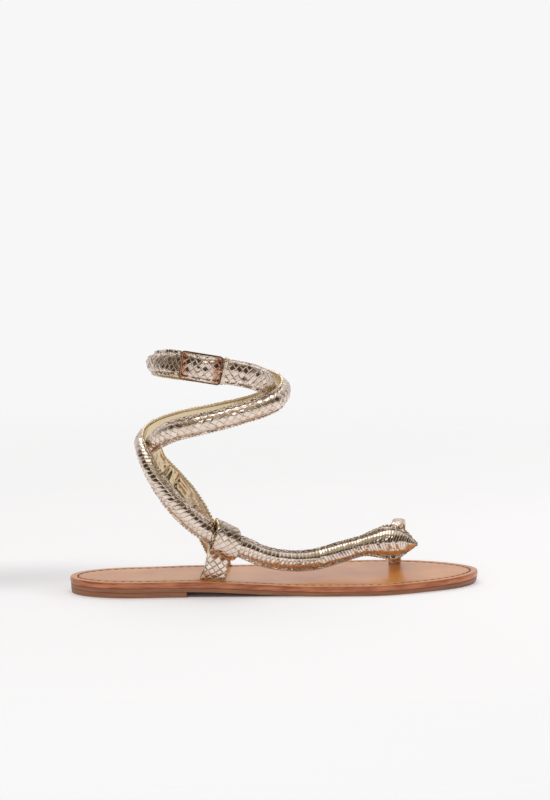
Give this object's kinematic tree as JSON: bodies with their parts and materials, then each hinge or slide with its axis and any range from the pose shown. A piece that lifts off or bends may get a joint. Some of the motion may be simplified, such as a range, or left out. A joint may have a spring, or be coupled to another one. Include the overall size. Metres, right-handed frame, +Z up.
{
  "type": "gladiator sandal",
  "caption": "Flat leather gladiator sandal, right shoe, with padded snakeskin-embossed straps wound round the ankle, a toe ring, a side keeper and a small buckle.",
  "frame": {"origin": "middle of the heel lift's tread, at floor level, 34 mm ahead of the back of the heel", "axes": "+X towards the toe, +Y towards the medial side, +Z up"},
  "size_m": [0.25, 0.0862, 0.1512],
  "materials": {
    "insole_leather": "smooth tan leather with a soft gloss and a burnished red-brown edge",
    "outsole_leather": "smooth brown leather, satin",
    "snake_leather": "pale gold metallic leather embossed with snake scales, smooth lining",
    "buckle_metal": "polished pale rose gold"
  },
  "bodies": {
    "root": {"insole": "insole_leather", "outsole": "outsole_leather", "heel_lift": "outsole_leather", "snake_strap": "snake_leather", "medial_strap": "snake_leather", "side_keeper": "snake_leather", "toe_loop": "snake_leather", "slim_loop": "snake_leather", "buckle_frame": "buckle_metal", "buckle_prong": "buckle_metal"}
  },
  "joints": []
}
